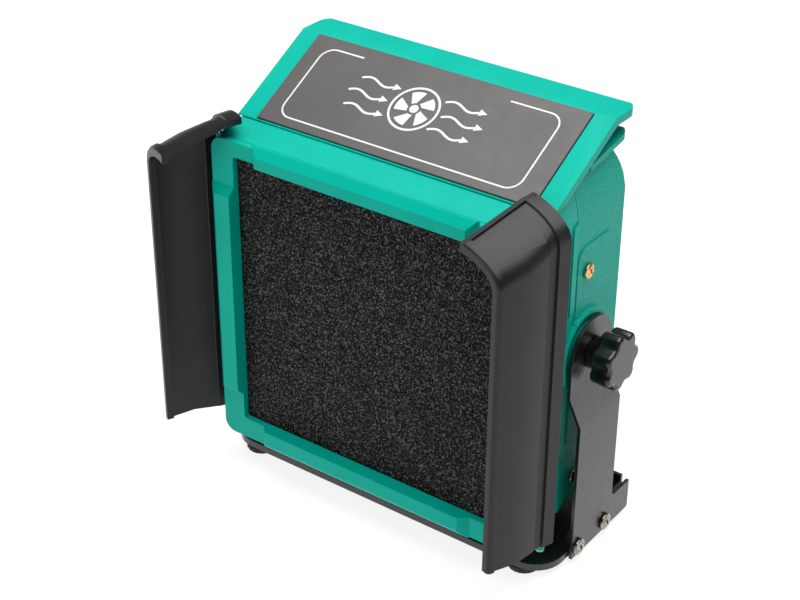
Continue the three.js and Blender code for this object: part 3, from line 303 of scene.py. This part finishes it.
finish_nodes(teal_smooth, 0.7, "front_shell")
finish_nodes(teal_textured, 0.6, "rear_shell")
finish_nodes(teal_smooth, 0.9, "top_cover", segments=3)
finish_nodes(teal_smooth, 0.8, "filter_frame", segments=3)
finish_nodes(film, 0.35, "label_panel")
finish_nodes(part_black, 0.3, "filter_grille", "fan_rotor", "power_inlet", "switch_body")
finish_nodes(part_black, 0.5, "fan_frame")
finish_nodes(laminations, 0.2, "fan_stator")
finish_nodes(nickel, 0.2, "fan_shaft")
finish_nodes(knob_black, 0.4, "switch_rocker")
finish_nodes(steel_black, 0.4, "base_plate")
finish_nodes(nickel, 0.2, *(f"fan_bearing_{end}" for end in ENDS))
finish_nodes(nickel, 0.3, *(f"inlet_pin_{pin}" for pin in ("line", "earth", "neutral")))
for side, _ in SIDES:
    finish_nodes(wing_black, 0.5, f"wing_{side}", segments=3)
    finish_nodes(steel_black, 0.35, f"arm_{side}")
    finish_nodes(brass, 0.2, f"pivot_insert_{side}")
    finish_nodes(rubber_black, 0.2, f"friction_washer_{side}")
    finish_nodes(rubber_black, 0.4, *(f"foot_{end}_{side}" for end in ENDS))
    finish_nodes(nickel, 0.2, f"knob_stud_{side}", *(f"hinge_pin_{end}_{side}" for end in HEIGHTS))


# ---- Mesh helpers ------------------------------------------------------------------------------
def mesh_object(name, vertices, faces, material):
    mesh = bpy.data.meshes.new(name)
    mesh.from_pydata([tuple(v) for v in vertices], [], faces)
    mesh.materials.append(material)
    return add_object(name, mesh)


def fine_piece(name, vertices, faces, material, body, smooth=True):
    """A closed mesh with merged poles and outward normals, fixed to a body."""
    piece = mesh_object(name, vertices, faces, material)
    clean = bmesh.new()
    clean.from_mesh(piece.data)
    bmesh.ops.remove_doubles(clean, verts=clean.verts, dist=0.0001 * MM)
    bmesh.ops.recalc_face_normals(clean, faces=clean.faces)
    clean.to_mesh(piece.data)
    clean.free()
    for polygon in piece.data.polygons:
        polygon.use_smooth = smooth
    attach(piece, body)
    return piece


def ring_faces(rows, around):
    """Quads between successive closed rings of `around` points each."""
    faces = []
    for row in range(rows - 1):
        for i in range(around):
            a, b = row * around + i, row * around + (i + 1) % around
            faces.append((a, b, b + around, a + around))
    return faces


# ---- Screws ------------------------------------------------------------------------------------
SCREW_POINTS, DOME_RINGS = 144, 40
RECESS_TURN = 0.5
# The head's outline and its recess, as shares of the head's radius and height.
DOME_REACH, DOME_FALL, DOME_POWER = 0.985, 0.42, 3.2
RIM_HIGH, RIM_LOW, SEAT_REACH = 0.45, 0.12, 0.97
RECESS_REACH, RECESS_HALF, RECESS_DEPTH, RECESS_SLOPE = 0.6, 0.13, 0.6, 0.3
WALL_ACROSS, WALL_ALONG = 0.04, 0.06


def screw_piece(node, outward, radius_mm, height_mm, shank_mm, material, body):
    """A pan-head screw with a cross recess sunk into its dome, seated where the CAD screw is."""
    radius, height, shank = radius_mm * MM, height_mm * MM, shank_mm * MM
    low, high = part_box(node)
    extent = Vector(tuple(abs(c) for c in outward)).dot(high - low)
    seat = (low + high) / 2 + outward * (extent / 2) - outward * height
    foot = height - extent
    turn = facing(outward, RECESS_TURN)

    def sunk(x, y, z):
        """The dome's height once the recess, deepest at its middle, is pressed in."""
        along, across = max(abs(x), abs(y)) / radius, min(abs(x), abs(y)) / radius
        inside = min((RECESS_HALF - across) / WALL_ACROSS, (RECESS_REACH - along) / WALL_ALONG, 1.0)
        slope = 1 - RECESS_SLOPE * along / RECESS_REACH
        return z if inside <= 0 else z - height * RECESS_DEPTH * inside * slope

    profile = []
    for ring in range(DOME_RINGS + 1):
        share = ring / DOME_RINGS
        profile.append((radius * DOME_REACH * share, height * (1 - DOME_FALL * share ** DOME_POWER)))
    profile += [(radius, height * RIM_HIGH), (radius, height * RIM_LOW), (radius * SEAT_REACH, 0.0),
                (shank, 0.0), (shank, foot), (0.0, foot)]
    vertices = []
    for ring, (r, z) in enumerate(profile):
        for i in range(SCREW_POINTS):
            angle = 2 * math.pi * i / SCREW_POINTS
            x, y = r * math.cos(angle), r * math.sin(angle)
            lift = sunk(x, y, z) if ring <= DOME_RINGS else z
            vertices.append(seat + turn @ Vector((x, y, lift)))
    faces = ring_faces(len(profile), SCREW_POINTS)
    piece = fine_piece(f"{node}_fine", vertices, faces, material, body)
    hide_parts(node)


for side, sign in SIDES:
    out = Vector((sign, 0, 0))
    for end in ENDS:
        screw_piece(f"base_screw_{end}_{side}", out, 4.9, 2.6, 1.9, nickel, "bracket")
    for end in HEIGHTS:
        screw_piece(f"case_screw_{end}_{side}", out, 4.2, 2.4, 1.4, copper, "housing")
for index in range(1, 5):
    back = Vector((0, 1, 0))
    screw_piece(f"fan_screw_{index}", back, 3.9, 2.2, 1.7, nickel, "housing")

# ---- Knobs -------------------------------------------------------------------------------------
KNOB_LOBES = 7
KNOB_POINTS = KNOB_LOBES * 24
KNOB_HEAD = 12 * MM
KNOB_EDGE = 2.1 * MM
EDGE_STEPS_UNDER, EDGE_STEPS_OVER = 6, 7
# Shares of the knob's reach: its hub, the lobes' mean and swing, and the circle that the face fades to.
HUB_SHARE, LOBE_MEAN, LOBE_SWING, LOBE_POWER, FACE_SHARE = 0.54, 0.915, 0.085, 0.75, 0.9
# Rings of the face: how far out each lies, and how much of the lobes it keeps.
FACE_RINGS = ((0.93, 0.8), (0.7, 0.3), (0.4, 0), (0.0, 0))


def knob_piece(side, sign):
    """A seven-lobed clamp knob: a flared hub, rounded lobes and a flat face."""
    node = f"knob_{side}"
    low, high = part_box(node)
    axis = (low + high) / 2
    inner_x, outer_x = (high.x, low.x) if sign < 0 else (low.x, high.x)
    length = abs(outer_x - inner_x)
    reach = (high.z - low.z) / 2
    hub = length - KNOB_HEAD
    hub_radius = reach * HUB_SHARE
    vertices = []

    def put(height, radius_at):
        for i in range(KNOB_POINTS):
            angle = 2 * math.pi * i / KNOB_POINTS
            radius = radius_at(angle)
            vertices.append(Vector((
                inner_x + sign * height,
                axis.y + radius * math.cos(angle),
                axis.z + radius * math.sin(angle),
            )))

    def lobed(angle, inset):
        wave = math.cos(KNOB_LOBES * angle)
        return reach * (LOBE_MEAN + LOBE_SWING * math.copysign(abs(wave) ** LOBE_POWER, wave)) + inset

    def put_lobed(height, corner):
        put(height, lambda angle: lobed(angle, -KNOB_EDGE * (1 - math.cos(corner))))

    # Height, and share of the hub's radius.
    hub_profile = [
        (0.0, 0.30), (0.0, 0.985), (0.3 * MM, 1.0),
        (hub - 1.6 * MM, 1.0), (hub - 0.6 * MM, 1.06), (hub, 1.3),
    ]
    for height, factor in hub_profile:
        put(height, lambda angle: hub_radius * factor)
    for step in range(EDGE_STEPS_UNDER, -1, -1):
        corner = math.pi / 2 * step / EDGE_STEPS_UNDER
        put_lobed(hub + KNOB_EDGE * (1 - math.sin(corner)), corner)
    for step in range(EDGE_STEPS_OVER + 1):
        corner = math.pi / 2 * step / EDGE_STEPS_OVER
        put_lobed(length - KNOB_EDGE + KNOB_EDGE * math.sin(corner), corner)
    for factor, lobes in FACE_RINGS:
        put(length, lambda angle: factor * (
            lobed(angle, -KNOB_EDGE) * lobes + reach * FACE_SHARE * (1 - lobes)))
    faces = ring_faces(len(vertices) // KNOB_POINTS, KNOB_POINTS)
    faces.append(tuple(range(KNOB_POINTS)))
    piece = fine_piece(f"{node}_fine", vertices, faces, knob_black, node)
    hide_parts(node)


for side, sign in SIDES:
    knob_piece(side, sign)

# ---- Foam filter -------------------------------------------------------------------------------
FOAM_STEP = 0.95 * MM
FOAM_DEEPEST = 0.9 * MM
FOAM_JITTER = 0.25 * FOAM_STEP
CELL_SCALE, GRAIN_SCALE, WAVE_SCALE, JITTER_SCALE = 900, 750, 60, 2100
# Two far-apart places in the noise, so that a point shifts differently along X and Z.
JITTER_PLACE_X, JITTER_PLACE_Z = Vector((5, 0, 0)), Vector((0, 9, 0))
SINK_LEAST, CELL_SHARE, GRAIN_SHARE, WAVE_SHARE = 0.15, 0.35, 0.5, 0.15


def foam_piece():
    """The carbon foam pad. Its front is a fine grid pushed in cell by cell."""
    low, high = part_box("foam_filter")
    columns = int((high.x - low.x) / FOAM_STEP)
    rows = int((high.z - low.z) / FOAM_STEP)

    def foam_point(column, row):
        x = low.x + (high.x - low.x) * column / columns
        z = low.z + (high.z - low.z) * row / rows
        if min(row, column, rows - row, columns - column) == 0:
            return Vector((x, low.y, z))
        place = Vector((x, 0.0, z))
        cell = noise.cell(place * CELL_SCALE)
        grain = 0.5 + 0.5 * noise.noise(place * GRAIN_SCALE)
        wave = 0.5 + 0.5 * noise.noise(place * WAVE_SCALE)
        sink = SINK_LEAST + GRAIN_SHARE * grain + CELL_SHARE * cell + WAVE_SHARE * wave
        return Vector((
            x + FOAM_JITTER * noise.noise(place * JITTER_SCALE + JITTER_PLACE_X),
            low.y + sink * FOAM_DEEPEST,
            z + FOAM_JITTER * noise.noise(place * JITTER_SCALE + JITTER_PLACE_Z),
        ))

    vertices = [foam_point(column, row) for row in range(rows + 1) for column in range(columns + 1)]
    stride = columns + 1
    faces = [
        (r * stride + c, r * stride + c + 1, (r + 1) * stride + c + 1, (r + 1) * stride + c)
        for r in range(rows) for c in range(columns)
    ]
    rim = (
        list(range(columns)) + [r * stride + columns for r in range(rows)]
        + [rows * stride + c for c in range(columns, 0, -1)] + [r * stride for r in range(rows, 0, -1)]
    )
    start = len(vertices)
    vertices += [Vector((vertices[i].x, high.y, vertices[i].z)) for i in rim]
    for i, corner in enumerate(rim):
        j = (i + 1) % len(rim)
        faces.append((corner, rim[j], start + j, start + i))
    faces.append(tuple(range(start, len(vertices))))
    piece = fine_piece("foam_filter_fine", vertices, faces, foam_black, "housing", smooth=False)
    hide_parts("foam_filter")


foam_piece()


# ---- Label print -------------------------------------------------------------------------------
def label_plane():
    """Centre, up-slope direction and outward normal of the label's face."""
    mesh = NODES["label_panel"].data
    widest = max(mesh.polygons, key=lambda p: p.area if p.normal.z > 0 else 0)
    normal = widest.normal.normalized()
    up = Vector((0, normal.z, -normal.y)).normalized()
    low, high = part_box("label_panel")
    centre = (low + high) / 2
    lift = (widest.center - centre).dot(normal)
    return centre + normal * lift, up, normal


LABEL_CENTRE, LABEL_UP, LABEL_NORMAL = label_plane()
PRINT_LIFT = 0.03 * MM
PRINT_THICKNESS = 0.05 * MM

# Everything below is in millimetres on the label: u to the right, v up the slope.
BORDER_LEFT, BORDER_RIGHT, BORDER_LOW, BORDER_HIGH, BORDER_CORNER = -77.3, 75.0, -25.9, 24.0, 8.0
BORDER_WIDTH = 0.95
GAP_LEFT, GAP_RIGHT = -51.6, 42.6
FAN_U, FAN_V, FAN_RING, RING_STEPS = -4.8, 2.4, 14.0, 48
BLADES, BLADE_START, BLADE_SWEEP, BLADE_TIP = 5, 12, 42, FAN_RING - 2.6
BLADE_ROOT, ROOT_LEADS, ROOT_LAGS = 4.0, 58, 18
HUB_RADIUS, HUB_POINTS = 2.6, 24
SYMBOL_WIDTH = 1.3
BREEZE_LENGTH, BREEZE_ROWS, BREEZE_GAP, BREEZE_SWAY, BREEZE_STEPS = 26, (9.5, 0, -9.5), 3, 1.7, 20
ARROW_LENGTH, ARROW_HALF, ARROW_OVERLAP = 4.2, 2.2, 0.6


def on_label(u, v):
    return LABEL_CENTRE + Vector((u * MM, 0, 0)) + LABEL_UP * (v * MM) + LABEL_NORMAL * PRINT_LIFT


def printed(name, outlines):
    """Flat ink shapes on the label, one for each outline."""
    vertices, faces = [], []
    for outline in outlines:
        start = len(vertices)
        vertices += [on_label(u, v) for u, v in outline]
        faces.append(tuple(range(start, start + len(outline))))
    piece = mesh_object(name, vertices, faces, ink)
    body = piece.modifiers.new("ink_thickness", "SOLIDIFY")
    body.thickness = PRINT_THICKNESS
    body.offset = 0
    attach(piece, "housing")


def stroke(points, width):
    """Quads following a line, as one outline for each stretch."""
    shapes = []
    for (u0, v0), (u1, v1) in zip(points, points[1:]):
        length = math.hypot(u1 - u0, v1 - v0)
        nu, nv = -(v1 - v0) / length * width / 2, (u1 - u0) / length * width / 2
        shapes.append([(u0 + nu, v0 + nv), (u0 - nu, v0 - nv), (u1 - nu, v1 - nv), (u1 + nu, v1 + nv)])
    return shapes


def arc(cu, cv, radius, start, end, steps=10):
    """Points along an arc from one angle to another, in degrees."""
    angles = [math.radians(start + (end - start) * i / steps) for i in range(steps + 1)]
    return [(cu + radius * math.cos(angle), cv + radius * math.sin(angle)) for angle in angles]


def border_line():
    """A rounded rectangle with a gap in its upper edge."""
    corner = BORDER_CORNER
    left, right = BORDER_LEFT + corner, BORDER_RIGHT - corner
    low, high = BORDER_LOW + corner, BORDER_HIGH - corner
    first = [(GAP_LEFT, BORDER_HIGH)] + arc(left, high, corner, 90, 180)
    first += arc(left, low, corner, 180, 270) + [(0, BORDER_LOW)]
    last = [(0, BORDER_LOW)] + arc(right, low, corner, 270, 360)
    last += arc(right, high, corner, 0, 90) + [(GAP_RIGHT, BORDER_HIGH)]
    return stroke(first, BORDER_WIDTH) + stroke(last, BORDER_WIDTH)


def breeze(u, v):
    """A gently waving arrow that points along +u."""
    neck = u + BREEZE_LENGTH - ARROW_LENGTH
    line = [
        (u + (neck - u) * i / BREEZE_STEPS, v + BREEZE_SWAY * math.sin(2 * math.pi * i / BREEZE_STEPS))
        for i in range(BREEZE_STEPS + 1)
    ]
    root = neck - ARROW_OVERLAP
    tip = [(root, v + ARROW_HALF), (root, v - ARROW_HALF), (u + BREEZE_LENGTH, v)]
    return stroke(line, SYMBOL_WIDTH) + [tip]


def fan_symbol():
    """A fan in a ring, with air drawn in on one side and blown out on the other."""
    shapes = stroke(arc(FAN_U, FAN_V, FAN_RING, 0, 360, RING_STEPS), SYMBOL_WIDTH)
    for blade in range(BLADES):
        turn = 360 * blade / BLADES + BLADE_START
        outer = arc(FAN_U, FAN_V, BLADE_TIP, turn, turn + BLADE_SWEEP, 8)
        inner = arc(FAN_U, FAN_V, BLADE_ROOT, turn + ROOT_LEADS, turn + ROOT_LAGS, 4)
        shapes.append(outer + inner)
    shapes.append(arc(FAN_U, FAN_V, HUB_RADIUS, 0, 360 - 360 / HUB_POINTS, HUB_POINTS - 1))
    for offset in BREEZE_ROWS:
        near = math.sqrt((FAN_RING + BREEZE_GAP) ** 2 - offset ** 2)
        shapes += breeze(FAN_U - near - BREEZE_LENGTH, FAN_V + offset)
        shapes += breeze(FAN_U + near, FAN_V + offset)
    return shapes


printed("label_border", border_line())
printed("label_symbol", fan_symbol())

# ---- Surroundings ------------------------------------------------------------------------------
FLOOR_HALF = 4.0
FLOOR_DROP = 0.2 * MM
WHITE = (1, 1, 1, 1)
LIGHTS_AIM = Vector((0, 0, 0.12))


def add_floor():
    n = Nodes("pale_floor")
    paint = n.finish(
        Base_Color=(0.25, 0.25, 0.25, 1), Roughness=0.8, Specular_IOR_Level=0.0,
        Emission_Color=WHITE, Emission_Strength=0.85,
    )
    corners = [(x * FLOOR_HALF, y * FLOOR_HALF, 0) for x, y in ((-1, -1), (1, -1), (1, 1), (-1, 1))]
    floor = mesh_object("floor", corners, [(0, 1, 2, 3)], paint)
    floor.location.z = -FLOOR_DROP


def add_softbox(name, energy, width, height, place):
    data = bpy.data.lights.new(name, "AREA")
    data.energy = energy
    data.shape = "RECTANGLE"
    data.size, data.size_y = width, height
    light = add_object(name, data)
    light.matrix_world = Matrix.Translation(place) @ facing(Vector(place) - LIGHTS_AIM).to_4x4()


def add_studio():
    world = bpy.data.worlds.new("studio")
    world.use_nodes = True
    background = world.node_tree.nodes["Background"]
    background.inputs["Color"].default_value = WHITE
    background.inputs["Strength"].default_value = 0.14
    bpy.context.scene.world = world
    add_softbox("top_softbox", 44, 1.8, 1.8, (0, 0.1, 1.6))
    add_softbox("front_card", 4.5, 0.9, 0.7, (-0.7, -1.2, 0.6))
    add_softbox("right_card", 0.8, 0.3, 0.9, (1.0, 0.15, 0.25))
    bpy.context.scene.view_settings.view_transform = "Standard"


add_floor()
add_studio()
